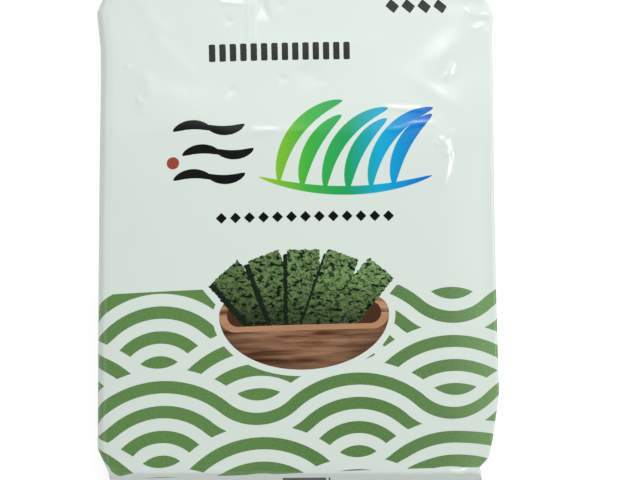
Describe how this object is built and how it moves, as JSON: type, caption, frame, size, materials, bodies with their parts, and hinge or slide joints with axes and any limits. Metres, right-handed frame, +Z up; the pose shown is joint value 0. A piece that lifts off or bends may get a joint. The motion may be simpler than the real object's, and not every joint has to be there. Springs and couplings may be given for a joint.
{
  "type": "sealed dried seaweed film pack",
  "caption": "Shut, film-wrapped tray pack of dried seaweed lying on its back, with tucked ends, ribbed end seals and a flat fin seal behind.",
  "frame": {"origin": "middle of the pack's footprint, on the surface that its back lies on", "axes": "+X across the pack to the right of the printed front, +Y along it to its upper end, +Z up out of the front"},
  "size_m": [0.081, 0.134, 0.028],
  "materials": {
    "film": "satin laminated film, pale green-white with a printed pattern"
  },
  "bodies": {
    "root": {"film_pack": "film"}
  },
  "joints": []
}
